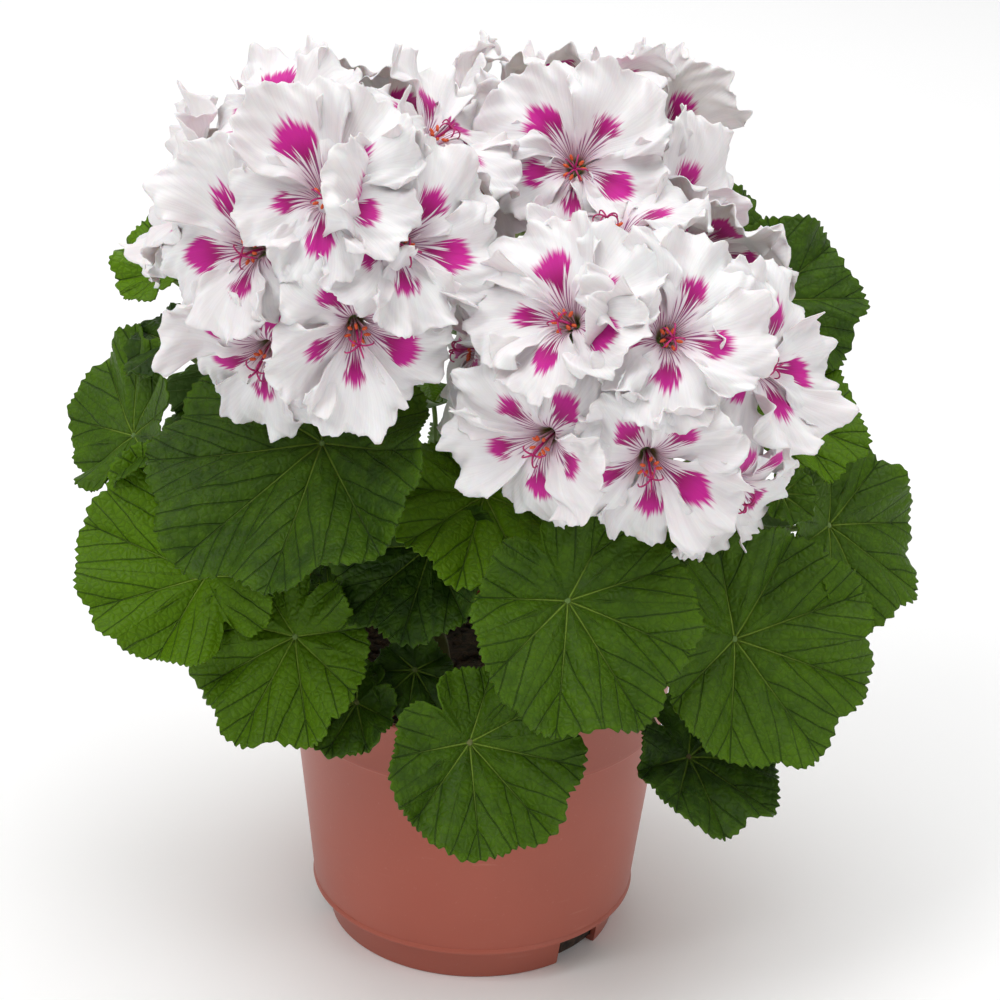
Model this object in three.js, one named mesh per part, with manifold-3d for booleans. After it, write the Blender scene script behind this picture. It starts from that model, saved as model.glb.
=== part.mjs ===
// A regal geranium in full flower, standing in a thin plastic nursery pot.
// Millimetres, +Z up. The origin is the centre of the pot's flat underside, and the front is -Y.
// Each leaf blade, floret, stem, flower stalk, the soil and the pot is a closed solid of its own.

import * as THREE from 'three';
import { mergeVertices } from 'three/addons/utils/BufferGeometryUtils.js';
import Module from 'manifold-3d';

const wasm = await Module();
wasm.setup();

// ---- driving dimensions ----

const GAP = 0.3; // clearance between neighbouring pieces
const SHARP = 0.08; // details finer than this are smoothed away after a cut

const POT = {
  height: 100,
  rimRadius: 65.4,
  baseRadius: 53,
  footHeight: 12,
  footRadius: 49,
  bandHeight: 20, // the straight band below the rim
  wall: 1.5,
  floor: 1.8,
  segments: 40,
};

// Drainage notches in the foot, each turned from the front towards the right.
const NOTCH = { turns: [48, -87, 160], width: 19, depth: 14, height: 10.5 };

const SOIL_LEVEL = 86;
const SOIL_MOUND = 3; // how much higher the soil is around the stems

const LEAF = { thickness: 1.2, segments: 20, cup: 0.1, wave: 0.05 };
const PETIOLE = { radius: 1.3, sides: 5, steps: 5 };
const STEM = { radius: 3.5, sides: 6, steps: 9 };
const STALK = { radius: 2.2, sides: 6, steps: 5 };
const PEDICEL = { radius: 1.1, sides: 5, steps: 2 };
const CALYX = { length: 8, radius: 3, sides: 5 };
const FLORET = { radius: 29.5, throat: 13, cup: 9, thickness: 1.1, petals: 5, segmentsPerPetal: 4 };

// Main stems: points from inside the soil up to where the flower stalk starts.
const STEMS = {
  left: [[-10, -6, 76], [-13, -7, 100], [-23, -10, 132], [-36, -16, 165], [-44, -19, 188]],
  back: [[3, 12, 76], [5, 15, 110], [11, 22, 150], [18, 29, 188]],
  right: [[12, -5, 76], [16, -8, 100], [26, -16, 130], [34, -24, 158]],
};

// Umbels: the hub where the pedicels meet, and one [turn, rise, distance] for each floret.
// turn is in degrees from the front towards the right, rise in degrees above level.
const UMBELS = {
  left: {
    hub: [-48, -22, 240],
    florets: [
      [0, 37, 46], [26, 22, 44], [11, -5, 43], [-26, 19, 42], [-23, -19, 40],
      [-80, 24, 38], [-52, 66, 42], [80, 54, 42], [165, 40, 41], [-140, 12, 39],
    ],
  },
  back: {
    hub: [26, 34, 242],
    florets: [
      [-2, 30, 46], [-38, 22, 42], [32, 12, 38], [170, 62, 33],
      [-115, 22, 37], [140, 14, 36], [178, 16, 39],
    ],
  },
  right: {
    hub: [42, -36, 209],
    florets: [
      [-28, 37, 45], [12, 35, 44], [-30, -3, 43], [6, -7, 42], [-50, 80, 41],
      [52, 21, 41], [48, -26, 41], [-82, 14, 40], [140, 40, 42],
    ],
  },
};

// Leaf blades: name, stem, place on the stem from 0 to 1, where the leaf stalk meets the blade,
// radius, the way the upper surface faces, the way the tip points.
const LEAVES = [
  ['front_left', 'left', 0.8, [-50, -52, 192], 47, [-0.3, -0.6, 0.75], [-0.8, -0.55, -0.3]],
  ['low_left', 'left', 0.45, [-87, -40, 140], 38, [-0.25, -0.85, 0.45], [-0.55, 0.1, 0.8]],
  ['far_left', 'left', 0.6, [-114, -8, 174], 29, [-0.75, -0.5, 0.45], [-0.4, 0.1, 0.85]],
  ['upper_left', 'left', 0.9, [-106, 14, 222], 17, [-0.5, -0.6, 0.6], [-0.5, 0.1, 0.8]],
  ['curled_left', 'left', 0.85, [-102, -4, 205], 15, [-0.6, -0.3, 0.75], [-1, 0, 0.2]],
  ['bottom_left', 'left', 0.35, [-58, -54, 127], 31, [-0.3, -0.8, 0.5], [-0.35, -0.25, -0.85]],
  ['rim_left', 'left', 0.25, [-38, -60, 108], 18, [-0.1, -0.7, 0.7], [-0.85, -0.35, -0.3]],
  ['rim_centre', 'left', 0.3, [-20, -54, 117], 14, [0, -0.75, 0.65], [-0.1, -0.5, -0.8]],
  ['mid_left', 'left', 0.55, [-16, -52, 159], 29, [-0.25, -0.75, 0.6], [-0.75, -0.35, -0.5]],
  ['under_head', 'right', 0.95, [0, -50, 176], 28, [0, -0.65, 0.75], [-0.2, -0.8, -0.4]],
  ['front_centre', 'right', 0.8, [26, -80, 155], 36, [0.15, -0.8, 0.55], [0.5, -0.3, -0.75]],
  ['pot_front', 'right', 0.4, [-2, -86, 109], 31, [0.1, -0.9, 0.45], [0.65, -0.25, -0.65]],
  ['right_big', 'right', 0.6, [79, -60, 134], 39, [0.3, -0.85, 0.45], [0.9, 0.1, -0.35]],
  ['right_outer', 'right', 0.75, [111, -20, 156], 32, [0.6, -0.6, 0.55], [0.75, 0.1, -0.6]],
  ['right_low', 'right', 0.55, [67, -64, 95], 26, [0.3, -0.5, 0.8], [0.85, -0.35, -0.4]],
  ['right_small', 'right', 0.9, [92, -42, 176], 10, [0.3, -0.7, 0.6], [0.7, -0.2, -0.5]],
  ['right_light', 'right', 0.97, [95, -12, 190], 23, [0.35, -0.55, 0.75], [0.95, -0.2, -0.2]],
  ['upper_right', 'back', 0.95, [88, 6, 222], 28, [0.3, -0.75, 0.6], [0.95, 0, 0.15]],
  ['top_right', 'back', 0.98, [72, 26, 238], 16, [0.3, -0.65, 0.7], [0.6, 0, 0.8]],
  ['back_left_high', 'left', 0.7, [-75, 45, 185], 34, [-0.5, 0.5, 0.7], [-0.7, 0.6, -0.3]],
  ['back_left_low', 'back', 0.4, [-52, 72, 148], 36, [-0.3, 0.75, 0.6], [-0.4, 0.6, -0.6]],
  ['back_high', 'back', 0.85, [-4, 84, 192], 36, [0, 0.6, 0.8], [0, 0.9, -0.4]],
  ['back_low', 'back', 0.35, [8, 90, 132], 34, [0.1, 0.8, 0.5], [0.2, 0.4, -0.8]],
  ['back_right_high', 'back', 0.7, [62, 70, 178], 36, [0.5, 0.6, 0.65], [0.6, 0.7, -0.4]],
  ['back_right_low', 'back', 0.5, [84, 40, 138], 32, [0.7, 0.4, 0.6], [0.85, 0.4, -0.3]],
  ['side_left_low', 'back', 0.25, [-80, 22, 118], 28, [-0.7, 0.2, 0.7], [-0.9, 0.3, -0.3]],
];

// ---- materials ----

function material(color, roughness) {
  return new THREE.MeshStandardMaterial({ color, roughness, metalness: 0 });
}

const terracottaPlastic = material(0x96543f, 0.5);
const peatSoil = material(0x2c1f17, 0.95);
const stemGreen = material(0x5f7a3a, 0.7);
const stalkGreen = material(0x7f9a4c, 0.65);
const leafGreen = material(0x4f7428, 0.6);
const petalWhite = material(0xf3eef0, 0.55);

// ---- solids ----

function solidOf(geometry) {
  geometry.deleteAttribute('normal');
  geometry.deleteAttribute('uv');
  const merged = mergeVertices(geometry, 1e-4);
  const mesh = new wasm.Mesh({
    numProp: 3,
    vertProperties: new Float32Array(merged.attributes.position.array),
    triVerts: new Uint32Array(merged.index.array),
  });
  return new wasm.Manifold(mesh);
}

function geometryOf(solid) {
  const mesh = solid.getMesh();
  const geometry = new THREE.BufferGeometry();
  geometry.setAttribute('position', new THREE.BufferAttribute(mesh.vertProperties, 3));
  geometry.setIndex(new THREE.BufferAttribute(mesh.triVerts, 1));
  return geometry;
}

function largestPiece(solid) {
  const pieces = solid.decompose();
  return pieces.reduce((best, piece) => (piece.volume() > best.volume() ? piece : best));
}

function boxesMeet(a, b) {
  return [0, 1, 2].every((axis) => a.min[axis] < b.max[axis] && b.min[axis] < a.max[axis]);
}

// Pieces already in place, each as a slightly swollen solid that later pieces keep clear of.
const occupied = [];

function clearOfOthers(solid) {
  let clear = solid;
  for (const other of occupied) {
    if (boxesMeet(clear.boundingBox(), other.boundingBox())) {
      clear = clear.subtract(other);
    }
  }
  return largestPiece(clear.simplify(SHARP));
}

const plant = new THREE.Group();

// make(grow) returns the piece's solid, swollen by grow on every side.
function addPiece(name, paint, make) {
  const mesh = new THREE.Mesh(geometryOf(clearOfOthers(make(0))), paint);
  mesh.name = name;
  occupied.push(make(GAP));
  plant.add(mesh);
}

// ---- shape helpers ----

function vector(values) {
  return new THREE.Vector3(...values);
}

function circleShape(radius, sides) {
  const corners = [];
  for (let i = 0; i < sides; i += 1) {
    const angle = (2 * Math.PI * i) / sides;
    corners.push(new THREE.Vector2(radius * Math.cos(angle), radius * Math.sin(angle)));
  }
  return new THREE.Shape(corners);
}

function tube(curve, size, grow) {
  const settings = { steps: size.steps, extrudePath: curve, bevelEnabled: false };
  return solidOf(new THREE.ExtrudeGeometry(circleShape(size.radius + grow, size.sides), settings));
}

// A solid of revolution about Z from [radius, height] pairs.
function turned(profile, segments) {
  const points = profile.map(([radius, height]) => new THREE.Vector2(radius, height));
  return new THREE.LatheGeometry(points, segments).rotateX(Math.PI / 2);
}

// Moves every vertex of a geometry by a function of its place.
function warped(geometry, move) {
  const position = geometry.attributes.position;
  const point = new THREE.Vector3();
  for (let i = 0; i < position.count; i += 1) {
    point.fromBufferAttribute(position, i);
    move(point);
    position.setXYZ(i, point.x, point.y, point.z);
  }
  return geometry;
}

// A frame at a place whose Z is the facing and whose X is as near as it can be to the tip.
function frameAt(place, facing, tip) {
  const zAxis = facing.clone().normalize();
  const yAxis = new THREE.Vector3().crossVectors(zAxis, tip).normalize();
  const xAxis = new THREE.Vector3().crossVectors(yAxis, zAxis);
  return new THREE.Matrix4().makeBasis(xAxis, yAxis, zAxis).setPosition(place);
}

// ---- pot and soil ----

function wallRadius(height) {
  const slope = (POT.rimRadius - 1.4 - POT.baseRadius) / POT.height;
  return POT.baseRadius + slope * height;
}

function potProfile() {
  const { height, wall, floor, footHeight, footRadius, rimRadius } = POT;
  const bandFoot = height - POT.bandHeight;
  const outer = [
    [0, 0],
    [footRadius - 0.8, 0],
    [footRadius, 0.8],
    [footRadius + 1.4, footHeight - 0.4],
    [wallRadius(footHeight), footHeight + 0.4],
    [wallRadius(footHeight) + 0.7, footHeight + 1.2],
    [wallRadius(footHeight), footHeight + 2.4],
    [wallRadius(bandFoot), bandFoot - 1],
    [wallRadius(bandFoot) + 1.2, bandFoot],
    [rimRadius - 0.8, height - 2],
    [rimRadius, height - 1.4],
    [rimRadius - 0.2, height],
  ];
  const inner = [
    [rimRadius - 2, height],
    [rimRadius - 2.4, height - 1.4],
    [wallRadius(bandFoot) - 0.4, bandFoot + 1],
    [wallRadius(bandFoot) - wall, bandFoot - 1],
    [wallRadius(footHeight) - wall, footHeight + 3.2],
    [footRadius - 0.4, footHeight + 1.4],
    [footRadius - 1.8, floor],
    [0, floor],
  ];
  return [...outer, ...inner];
}

function notchCutter(turn) {
  const block = new THREE.BoxGeometry(NOTCH.width, NOTCH.depth, NOTCH.height * 2);
  block.translate(0, -POT.footRadius, 0);
  return solidOf(block.rotateZ(THREE.MathUtils.degToRad(turn)));
}

function potSolid() {
  let pot = solidOf(turned(potProfile(), POT.segments));
  for (const turn of NOTCH.turns) {
    pot = pot.subtract(notchCutter(turn));
  }
  return pot;
}

function soilSolid() {
  const { wall, floor, footHeight, footRadius } = POT;
  const inside = wall + GAP;
  const profile = [
    [0, floor + GAP],
    [footRadius - 2.2, floor + GAP],
    [footRadius - 1, footHeight + 1.8],
    [wallRadius(footHeight) - inside - 0.4, footHeight + 3.8],
    [wallRadius(SOIL_LEVEL) - inside - 1.2, SOIL_LEVEL],
    [POT.baseRadius * 0.5, SOIL_LEVEL + SOIL_MOUND * 0.7],
    [0, SOIL_LEVEL + SOIL_MOUND],
  ];
  return solidOf(turned(profile, POT.segments));
}

// ---- stems, leaf stalks and flower stalks ----

const stemCurves = {};
for (const [name, points] of Object.entries(STEMS)) {
  stemCurves[name] = new THREE.CatmullRomCurve3(points.map(vector));
}

function petioleCurve([, stem, along, place, , face]) {
  const start = stemCurves[stem].getPointAt(along);
  const facing = vector(face).normalize();
  const end = vector(place).addScaledVector(facing, -LEAF.thickness / 2 - GAP * 1.5);
  const reach = start.distanceTo(end);
  const leave = end.clone().sub(start).setZ(0).setLength(reach * 0.3);
  leave.z = reach * 0.3;
  const bendOut = start.clone().add(leave);
  const bendIn = end.clone().addScaledVector(facing, -reach * 0.3);
  return new THREE.CubicBezierCurve3(start, bendOut, bendIn, end);
}

function stemSolid(stem, grow) {
  let solid = tube(stemCurves[stem], STEM, grow);
  for (const leaf of LEAVES.filter((entry) => entry[1] === stem)) {
    solid = solid.add(tube(petioleCurve(leaf), PETIOLE, grow));
  }
  return solid;
}

function floretDirection([turn, rise]) {
  const azimuth = THREE.MathUtils.degToRad(turn);
  const elevation = THREE.MathUtils.degToRad(rise);
  return new THREE.Vector3(
    Math.sin(azimuth) * Math.cos(elevation),
    -Math.cos(azimuth) * Math.cos(elevation),
    Math.sin(elevation),
  );
}

function calyxSolid(base, direction, grow) {
  const { length, radius, sides } = CALYX;
  const cone = new THREE.CylinderGeometry(radius + grow, PEDICEL.radius + grow, length, sides);
  cone.translate(0, -length / 2, 0).rotateX(Math.PI / 2);
  cone.applyMatrix4(frameAt(base, direction, new THREE.Vector3(0.3, 0.2, 1)));
  return solidOf(cone);
}

function flowerStalkSolid(name, grow) {
  const hub = vector(UMBELS[name].hub);
  const stemTop = vector(STEMS[name].at(-1));
  const rise = hub.z - stemTop.z;
  const path = new THREE.CubicBezierCurve3(
    stemTop,
    stemCurves[name].getTangentAt(1).multiplyScalar(rise * 0.35).add(stemTop),
    hub.clone().setZ(hub.z - rise * 0.35),
    hub,
  );
  let solid = tube(path, STALK, grow);
  for (const floret of UMBELS[name].florets) {
    const direction = floretDirection(floret);
    const base = hub.clone().addScaledVector(direction, floret[2] - GAP * 1.5);
    const droop = hub.clone().lerp(base, 0.5).add(new THREE.Vector3(0, 0, -1));
    const neck = base.clone().addScaledVector(direction, -CALYX.length * 0.5);
    const pedicel = new THREE.QuadraticBezierCurve3(hub, droop, neck);
    solid = solid.add(tube(pedicel, PEDICEL, grow));
    solid = solid.add(calyxSolid(base, direction, grow));
  }
  return solid;
}

// ---- leaf blades ----

// Distance from the leaf stalk's end to the margin, as a share of the leaf's radius.
// The angle is measured from the tip; opposite the tip is the narrow notch at the stalk.
function leafMargin(angle) {
  const turnFromNotch = Math.abs(Math.PI - Math.abs(angle));
  if (turnFromNotch < 0.1) {
    return 0.14;
  }
  return 0.92 + 0.25 * Math.cos(angle) + 0.03 * Math.cos(7 * angle);
}

function leafSolid([, , , place, radius, face, tip], seed, grow) {
  const half = LEAF.thickness / 2 + grow;
  const edge = 1 + grow / radius;
  const profile = grow > 0
    ? [[0, -half], [0.5, -half], [edge, -grow], [edge, grow], [0.5, half], [0, half]]
    : [[0, -half], [0.5, -half], [1, 0], [0.5, half], [0, half]];
  const blade = warped(turned(profile, LEAF.segments), (point) => {
    const angle = Math.atan2(point.y, point.x);
    const share = Math.hypot(point.x, point.y);
    const reach = share * radius * leafMargin(angle);
    const cup = LEAF.cup * share * share;
    const wave = LEAF.wave * share * share * Math.sin(5 * angle + seed);
    point.x = reach * Math.cos(angle);
    point.y = reach * Math.sin(angle);
    point.z += radius * (cup + wave);
  });
  blade.applyMatrix4(frameAt(vector(place), vector(face), vector(tip)));
  return solidOf(blade);
}

// ---- florets ----

// Distance from the throat to the margin, as a share of the floret's radius.
// Angle 0 is upwards, between the two upper petals.
function floretMargin(angle) {
  const fromPetalMiddle = Math.abs(Math.cos((FLORET.petals * angle) / 2));
  return 1 - 0.24 * fromPetalMiddle ** 4;
}

function floretSolid(hub, floret, grow) {
  const { radius, throat, cup, thickness, petals, segmentsPerPetal } = FLORET;
  const half = thickness / 2 + grow;
  const edge = radius + grow;
  const bowl = cup * 0.75;
  const profile = grow > 0
    ? [[0, -half], [throat, bowl - half], [edge, cup - grow], [edge, cup + grow]]
    : [[0, -half], [throat, bowl - half], [edge, cup]];
  profile.push([throat, bowl + half], [0, half]);
  const corolla = warped(turned(profile, petals * segmentsPerPetal), (point) => {
    const angle = Math.atan2(point.y, point.x);
    const share = Math.hypot(point.x, point.y) / radius;
    const margin = share > 0.9 ? floretMargin(angle) : 1;
    point.x *= margin;
    point.y *= margin;
  });
  const direction = floretDirection(floret);
  const place = hub.clone().addScaledVector(direction, floret[2] + thickness / 2);
  const upward = new THREE.Vector3(0.05, 0.1, 1);
  corolla.applyMatrix4(frameAt(place, direction, upward));
  return solidOf(corolla);
}

// ---- the whole plant ----

function addPot() {
  const pot = new THREE.Mesh(geometryOf(potSolid()), terracottaPlastic);
  pot.name = 'pot';
  occupied.push(potSolid());
  plant.add(pot);
}

function addStems() {
  for (const name of Object.keys(STEMS)) {
    addPiece(`stem_${name}`, stemGreen, (grow) => stemSolid(name, grow));
  }
}

function addFlowerStalks() {
  for (const name of Object.keys(UMBELS)) {
    addPiece(`flower_stalk_${name}`, stalkGreen, (grow) => flowerStalkSolid(name, grow));
  }
}

function addFlorets() {
  for (const [name, umbel] of Object.entries(UMBELS)) {
    const hub = vector(umbel.hub);
    umbel.florets.forEach((floret, i) => {
      const label = `floret_${name}_${i + 1}`;
      addPiece(label, petalWhite, (grow) => floretSolid(hub, floret, grow));
    });
  }
}

function addLeaves() {
  LEAVES.forEach((leaf, i) => {
    addPiece(`leaf_${leaf[0]}`, leafGreen, (grow) => leafSolid(leaf, i, grow));
  });
}

addPot();
addStems();
addPiece('soil', peatSoil, soilSolid);
addFlowerStalks();
addFlorets();
addLeaves();

export default plant;
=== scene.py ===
"""A regal geranium in its nursery pot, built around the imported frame. Metres, +Z up, front -Y."""

import math

import bpy
import numpy as np
from mathutils import Matrix, Vector


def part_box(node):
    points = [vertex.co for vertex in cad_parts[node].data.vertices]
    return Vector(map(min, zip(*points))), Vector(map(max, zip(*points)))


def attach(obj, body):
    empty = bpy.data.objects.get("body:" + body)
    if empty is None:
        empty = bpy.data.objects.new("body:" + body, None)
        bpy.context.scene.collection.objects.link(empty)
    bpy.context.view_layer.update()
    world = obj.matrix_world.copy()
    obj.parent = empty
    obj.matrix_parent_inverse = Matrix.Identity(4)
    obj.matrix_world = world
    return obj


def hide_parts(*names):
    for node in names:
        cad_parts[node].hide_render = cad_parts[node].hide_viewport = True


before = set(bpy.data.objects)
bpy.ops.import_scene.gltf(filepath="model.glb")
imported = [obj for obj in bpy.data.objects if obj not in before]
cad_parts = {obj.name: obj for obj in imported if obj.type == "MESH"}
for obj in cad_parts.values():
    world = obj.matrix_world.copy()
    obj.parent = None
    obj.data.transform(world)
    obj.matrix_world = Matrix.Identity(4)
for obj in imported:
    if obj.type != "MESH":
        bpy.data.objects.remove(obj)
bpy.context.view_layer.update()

# ---- driving values ----

MM = 0.001
SEED = 11

CAMERA_DISTANCE = 0.9  # to the middle of the pot
CAMERA_RISE = 29.5  # degrees above the middle of the pot
CAMERA_PITCH = 23.54
CAMERA_YAW = 0.37
CAMERA_ROLL = 2.04
CAMERA_LENS = 94.35

LIGHTS = (  # name, place, size, power
    ("key", (-1.2, -1.1, 1.8), 1.0, 16), ("fill", (1.9, -1.3, 1.3), 1.8, 9),
    ("top", (0.1, 0.0, 2.6), 3.2, 52), ("rear", (-0.6, 2.2, 1.4), 1.8, 11),
)
LIGHT_TARGET = (0, 0, 0.17)
WORLD_STRENGTH = 0.34
FLOOR_HALF = 15.0
SHEEN_ROUGHNESS = 0.5

LEAF_THICK = 0.5 * MM
LEAF_CUP = 0.1  # height of a blade's margin above its middle, as a share of its radius
LEAF_WAVE = 0.085  # depth of the five broad waves round the margin
LEAF_RIPPLE = 0.035  # depth of the eleven finer ones
LEAF_SCALE = 1.04  # the toothed margin against the CAD outline
MAIN_VEINS = (-2.12, -1.34, -0.64, 0.0, 0.64, 1.34, 2.12)  # angle from the tip
TOOTH_PITCH = 2.7 * MM
TOOTH_DEPTH = 1.15 * MM
VEIN_SPACING = 11.5 * MM  # between side veins, along a main vein
SIDE_VEIN_SLOPE = 1.9  # how far a side vein runs forward as it goes out
VEIN_GROOVE = 0.9 * MM  # how far a main vein sinks in
SIDE_SWELL = 0.55 * MM  # how far the tissue between two side veins stands up
MAIN_SWELL = 2.6 * MM  # and between two main veins
YOUNG_LEAF_TOP = 14 * MM  # a young leaf's stalk leaves its stem this far below the blade

PETALS = 5
PETAL_THICK = 0.3 * MM
PETAL_LENGTH = 32 * MM
UPPER_GAIN = 0.17  # how much longer the two upper petals are
PETAL_SPREAD = (43, 50)  # half of a petal's width, in degrees round the throat
BOWL_SLOPE = 66  # degrees, how steeply a petal leaves the throat
BOWL_DEPTH = 0.30  # share of a petal's length that forms the throat's bowl
RUFFLE = (0.07, 0.12)  # depth of the waves along a petal's sides, as shares of its length
FRILL = (0.05, 0.09)  # and of those along its end
CRIMP = 0.036  # and of the fine ones at its edge
CREASE = 0.012
CROWD_LIFT = 0.36  # how far a petal stands up against a close neighbour
NEIGHBOUR_REACH = 2.4 * PETAL_LENGTH
TUCK = 9 * MM  # how far a petal is pushed under its neighbour at most
HUB_DISTANCE = 42 * MM  # from an umbel's hub to its throats
BUD_CLEARANCE = 0.84  # cosine of the least angle between a bud and its neighbours
BUDS = 12  # at most, round one hub
BRACTS = 9
STYLE_LENGTH = 12.5 * MM
STAMENS = 7

POT_STEPS = 240
# the pot's section, in millimetres
POT_WALL = 1.5
POT_BASE_RADIUS = 53  # where the line of the wall would meet the floor
POT_BAND = 20  # height of the band under the rim
FOOT_RADIUS = 49
FOOT_HEIGHT = 12

NOTCH_TURNS = (48, -87, 160)  # from the front towards the right, in degrees
NOTCH_WIDTH = 19 * MM
NOTCH_DEPTH = 14 * MM
NOTCH_HEIGHT = 10.5 * MM
NOTCH_CORNER = 1.6 * MM

SOIL_SIDE = 40 * MM  # the soil's side wall lies outside this radius
SOIL_LUMPS = ((9, 1.0), (4.5, 0.8), (2.4, 0.5))  # size and height in millimetres
CRUMBS = 420
STEM_CELL = 0.45 * MM
STEM_SMOOTHING = 6

STEM_NODES = [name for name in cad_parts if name.startswith("stem_")]
STALK_NODES = [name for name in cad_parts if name.startswith("flower_stalk_")]
UMBELS = ("left", "back", "right")  # an earlier umbel's florets push the later ones aside

LEAF_TONES = {  # -0.3 dark and bluish to 0.9 fresh; other leaves get a random tone
    "leaf_low_left": 0.75, "leaf_bottom_left": 0.5, "leaf_under_head": 0.8, "leaf_right_light": 0.7,
    "leaf_upper_left": 0.85, "leaf_front_left": 0.12, "leaf_mid_left": -0.1, "leaf_front_centre": 0.3,
    "leaf_pot_front": 0.25, "leaf_right_big": 0.3, "leaf_right_outer": 0.35, "leaf_right_low": 0.0,
    "leaf_far_left": 0.35, "leaf_curled_left": -0.2, "leaf_upper_right": 0.15, "leaf_rim_left": 0.1,
    "leaf_rim_centre": 0.0, "leaf_top_right": 0.3,
}

# Young leaves: turn from the front in degrees, then reach from the pot's axis, height above
# the soil and radius in millimetres.
YOUNG_LEAVES = [
    (-98, 52, 26, 17), (147, 44, 24, 15), (108, 62, 40, 16), (-30, 34, 14, 12),
    (55, 36, 18, 13), (-150, 42, 20, 14), (-75, 60, 44, 14), (-108, 96, 74, 19), (-154, 42, 82, 22),
]


def rng_for(name):
    """A random generator that depends only on the piece's name."""
    return np.random.default_rng([SEED] + [ord(letter) for letter in name])


def phase(rng):
    """A random starting point of a wave."""
    return rng.uniform(0, 6.3)


# ---- camera and light ----


def put(name, data):
    """A new object in the scene."""
    thing = bpy.data.objects.new(name, data)
    bpy.context.scene.collection.objects.link(thing)
    return thing


def make_camera():
    rise = math.radians(CAMERA_RISE)
    lo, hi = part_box("pot")
    camera = put("camera", bpy.data.cameras.new("camera"))
    camera.data.lens = CAMERA_LENS
    camera.data.clip_end = 20
    turn = Matrix.Rotation(-math.radians(CAMERA_YAW), 4, "Z")
    tilt = Matrix.Rotation(math.radians(90 - CAMERA_PITCH), 4, "X")
    roll = Matrix.Rotation(math.radians(CAMERA_ROLL), 4, "Z")
    back = Vector((0, -math.cos(rise), math.sin(rise))) * CAMERA_DISTANCE
    middle = Vector((0, 0, (lo.z + hi.z) / 2))
    camera.matrix_world = Matrix.Translation(middle + back) @ turn @ tilt @ roll
    bpy.context.scene.camera = camera


def make_light(name, place, size, power):
    light = put(name, bpy.data.lights.new(name, "AREA"))
    light.data.size = size
    light.data.energy = power
    light.location = place
    aim = Vector(LIGHT_TARGET) - Vector(place)
    light.rotation_mode = "QUATERNION"
    light.rotation_quaternion = aim.to_track_quat("-Z", "Y")


def make_studio():
    for light in LIGHTS:
        make_light(*light)
    world = bpy.data.worlds.new("studio")
    world.use_nodes = True
    background = world.node_tree.nodes["Background"]
    background.inputs["Color"].default_value = (1, 1, 1, 1)
    background.inputs["Strength"].default_value = WORLD_STRENGTH
    bpy.context.scene.world = world
    bpy.context.scene.view_settings.view_transform = "Standard"


# ---- node trees ----


class Paint:
    """A material whose node tree is built by short calls. Values are numbers or sockets."""

    def __init__(self, name):
        self.material = bpy.data.materials.new(name)
        self.material.use_nodes = True
        self.tree = self.material.node_tree
        self.shader = self.tree.nodes["Principled BSDF"]

    def feed(self, socket, value):
        if isinstance(value, bpy.types.NodeSocket):
            self.tree.links.new(value, socket)
        elif value is not None:
            socket.default_value = value

    def node(self, kind, inputs, output=0, **settings):
        """Adds a node and gives back one of its outputs."""
        node = self.tree.nodes.new("ShaderNode" + kind)
        for name, value in settings.items():
            setattr(node, name, value)
        for key, value in inputs.items():
            self.feed(node.inputs[key], value)
        return node.outputs[output]

    def math(self, operation, a, b=None, c=None):
        return self.node("Math", {0: a, 1: b, 2: c}, operation=operation)

    def times(self, a, b):
        return self.math("MULTIPLY", a, b)

    def plus(self, a, b):
        return self.math("ADD", a, b)

    def minus(self, a, b):
        return self.math("SUBTRACT", a, b)

    def line(self, value, slope, start):
        return self.math("MULTIPLY_ADD", value, slope, start)

    def step(self, value, low, high):
        """0 below low and 1 above high, with a smooth ramp between; low may be above high."""
        inputs = {"Value": value, "From Min": low, "From Max": high}
        return self.node("MapRange", inputs, interpolation_type="SMOOTHSTEP")

    def mix(self, factor, a, b):
        return self.node("Mix", {"Factor": factor, 6: a, 7: b}, 2, data_type="RGBA")

    def vector(self, x, y, z=0.0):
        return self.node("CombineXYZ", {0: x, 1: y, 2: z})

    def noise(self, vector, scale, detail=2.0):
        inputs = {"Vector": vector, "Scale": scale, "Detail": detail}
        return self.node("TexNoise", inputs, "Fac")

    def cells(self, vector, scale):
        """Distance to the nearest edge between random cells."""
        inputs = {"Vector": vector, "Scale": scale}
        return self.node("TexVoronoi", inputs, "Distance", feature="DISTANCE_TO_EDGE")

    def place(self):
        return self.node("TexCoord", {}, "Object")

    def axes(self, vector):
        return [self.node("SeparateXYZ", {0: vector}, i) for i in range(3)]

    def uv(self, name):
        return self.axes(self.node("UVMap", {}, uv_map=name))[:2]

    def attribute(self, name):
        return self.node("Attribute", {}, "Fac", attribute_name=name)

    def bump(self, height, distance, strength=1.0, below=None):
        inputs = {"Height": height, "Distance": distance, "Strength": strength, "Normal": below}
        return self.node("Bump", inputs)

    def finish(self, color, roughness, normal=None, specular=None, sheen=None, scatter=None):
        """scatter is the weight and the depth of light that passes through the surface."""
        weight, depth = scatter or (None, None)
        inputs = {
            "Base Color": color, "Roughness": roughness, "Normal": normal,
            "Specular IOR Level": specular, "Sheen Weight": sheen,
            "Sheen Roughness": sheen and SHEEN_ROUGHNESS,
            "Subsurface Weight": weight, "Subsurface Scale": depth,
        }
        for name, value in inputs.items():
            self.feed(self.shader.inputs[name], value)
        return self.material


def rgb(red, green, blue):
    """A linear colour from 0-255 screen values."""
    channels = [value / 255 for value in (red, green, blue)]
    linear = [c / 12.92 if c <= 0.04045 else ((c + 0.055) / 1.055) ** 2.4 for c in channels]
    return (*linear, 1.0)


# ---- mesh helpers ----


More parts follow.
